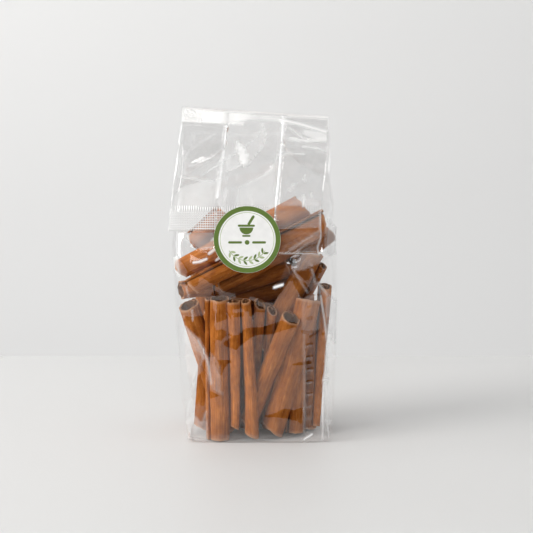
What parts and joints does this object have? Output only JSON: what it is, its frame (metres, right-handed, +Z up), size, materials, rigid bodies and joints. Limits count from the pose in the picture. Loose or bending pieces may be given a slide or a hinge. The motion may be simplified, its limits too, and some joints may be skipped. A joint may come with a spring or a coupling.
{
  "type": "clear bag of cinnamon sticks",
  "caption": "Clear block-bottom bag filled with cinnamon sticks, its crimped top folded over the front and held by a round label.",
  "frame": {"origin": "middle of the bounding box at the base, where the bag stands", "axes": "+Z up, -Y out of the front that carries the folded flap and the label, +X to the right seen from the front"},
  "size_m": [0.094, 0.0569, 0.1884],
  "materials": {
    "clear_film": "thin glossy clear film, crisp creases, lightly milky where it lies in several layers",
    "cinnamon_bark": "dry matt bark, fine lengthwise grain, darker inside the curls",
    "label_paper": "smooth coated paper, white with a muted green ring"
  },
  "bodies": {
    "root": {"bag": "clear_film", "label": "label_paper"}
  },
  "joints": []
}
